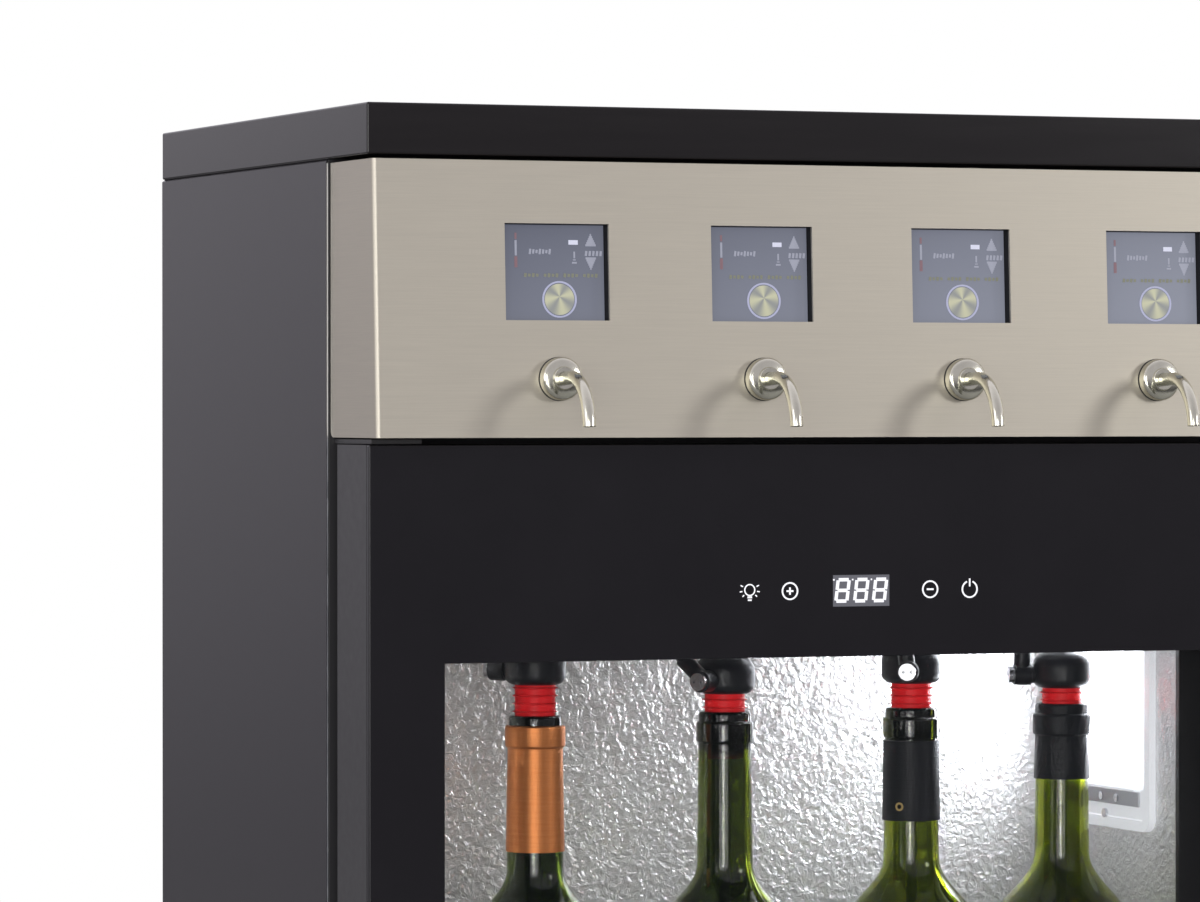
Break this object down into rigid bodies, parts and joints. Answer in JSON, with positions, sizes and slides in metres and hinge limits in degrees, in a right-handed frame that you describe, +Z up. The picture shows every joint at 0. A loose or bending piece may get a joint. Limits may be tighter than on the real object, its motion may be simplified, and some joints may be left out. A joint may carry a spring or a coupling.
{
  "type": "wine preservation dispenser",
  "caption": "Counter-top cooled wine dispenser with glass door, brushed control band, touch displays, curved spouts and gas stoppers in the bottles.",
  "frame": {"origin": "on the counter, under the middle of the whole outline", "axes": "+X to the right seen from the front, -Y towards the person who pours, +Z up"},
  "size_m": [0.516, 0.43, 0.66],
  "materials": {
    "black_paint": "matt powder coat",
    "charcoal_paint": "satin powder coat",
    "lid_board": "board painted satin black",
    "embossed_aluminium": "embossed mill finish",
    "foam": "rigid foam",
    "zinc_sheet": "zinc plated",
    "brushed_band": "brushed lengthways",
    "rubber_black": "matt",
    "screw_steel": "bright",
    "display_plastic": "fine texture",
    "polished_steel": "polished",
    "wine_red": "clear liquid",
    "cap_plastic": "satin",
    "red_rubber": "satin silicone",
    "clear_tube": "smooth",
    "green_glass": "clear green",
    "capsule_foil": "foil",
    "brass_bar": "machined",
    "fitting_plastic": "satin",
    "frame_plastic": "satin",
    "door_pane": "clear, printed border",
    "fin_aluminium": "extruded",
    "light_plastic": "satin",
    "lamp_plastic": "opal",
    "board_green": "solder mask",
    "tray_steel": "brushed"
  },
  "bodies": {
    "cabinet": {"base_pan": "black_paint", "left_side_panel": "charcoal_paint", "right_side_panel": "charcoal_paint", "rear_panel": "black_paint", "top_cover": "lid_board", "front_frame": "black_paint", "inner_liner": "embossed_aluminium", "insulation": "foam", "valve_deck": "zinc_sheet", "fascia": "brushed_band", "feet": "rubber_black", "casing_screws": "screw_steel", "display_1": "display_plastic", "display_2": "display_plastic", "display_3": "display_plastic", "display_4": "display_plastic", "spout_1": "polished_steel", "spout_2": "polished_steel", "spout_3": "polished_steel", "spout_4": "polished_steel", "spout_fixings": "polished_steel", "wine": "wine_red", "stopper_head_1": "cap_plastic", "stopper_head_2": "cap_plastic", "stopper_head_3": "cap_plastic", "stopper_head_4": "cap_plastic", "stopper_cones": "red_rubber", "gas_elbows": "cap_plastic", "banjo_bolts": "screw_steel", "dip_tubes": "clear_tube", "wine_hoses": "rubber_black", "gas_hoses": "rubber_black", "bottles": "green_glass", "capsules": "capsule_foil", "pinch_valves": "cap_plastic", "gas_manifold": "brass_bar", "gas_inlet": "fitting_plastic", "hinge_brackets": "black_paint", "cold_sink": "fin_aluminium", "hot_sink": "fin_aluminium", "fan_frames": "frame_plastic", "fan_cover": "light_plastic", "lamp_cover": "lamp_plastic", "control_board": "board_green", "power_supply": "zinc_sheet", "mains_inlet": "frame_plastic"},
    "door": {"door_frame": "frame_plastic", "door_glass": "door_pane", "inner_glass": "door_pane", "door_gasket": "rubber_black", "door_readout": "display_plastic"},
    "cold_rotor": {"cold_fan": "frame_plastic"},
    "hot_rotor": {"hot_fan": "frame_plastic"},
    "rocker": {"power_switch": "frame_plastic"},
    "tray": {"drip_tray": "tray_steel", "drip_grille": "tray_steel"},
    "plunger_1": {"valve_plunger_1": "screw_steel"},
    "plunger_2": {"valve_plunger_2": "screw_steel"},
    "plunger_3": {"valve_plunger_3": "screw_steel"},
    "plunger_4": {"valve_plunger_4": "screw_steel"}
  },
  "joints": [
    {"name": "door_hinge", "type": "hinge", "parent": "cabinet", "child": "door", "pos_m": [-0.244, -0.108, 0.27], "axis": [0, 0, 1], "range_deg": [-110, 0]},
    {"name": "cold_fan_spin", "type": "hinge", "parent": "cabinet", "child": "cold_rotor", "pos_m": [0, 0.06, 0.158], "axis": [0, 1, 0], "continuous": true},
    {"name": "hot_fan_spin", "type": "hinge", "parent": "cabinet", "child": "hot_rotor", "pos_m": [0, 0.156, 0.158], "axis": [0, 1, 0], "continuous": true},
    {"name": "power_rocker", "type": "hinge", "parent": "cabinet", "child": "rocker", "pos_m": [0.15, 0.207, 0.128], "axis": [1, 0, 0], "range_deg": [-14, 0]},
    {"name": "tray_slide", "type": "slide", "parent": "cabinet", "child": "tray", "axis": [0, -1, 0], "range_m": [0, 0.075]},
    {"name": "valve_1_draw", "type": "slide", "parent": "cabinet", "child": "plunger_1", "axis": [0, 1, 0], "range_m": [0, 0.002], "stiffness_N_per_m": 1500, "springref_m": -0.003},
    {"name": "valve_2_draw", "type": "slide", "parent": "cabinet", "child": "plunger_2", "axis": [0, 1, 0], "range_m": [0, 0.002], "stiffness_N_per_m": 1500, "springref_m": -0.003},
    {"name": "valve_3_draw", "type": "slide", "parent": "cabinet", "child": "plunger_3", "axis": [0, 1, 0], "range_m": [0, 0.002], "stiffness_N_per_m": 1500, "springref_m": -0.003},
    {"name": "valve_4_draw", "type": "slide", "parent": "cabinet", "child": "plunger_4", "axis": [0, 1, 0], "range_m": [0, 0.002], "stiffness_N_per_m": 1500, "springref_m": -0.003}
  ]
}
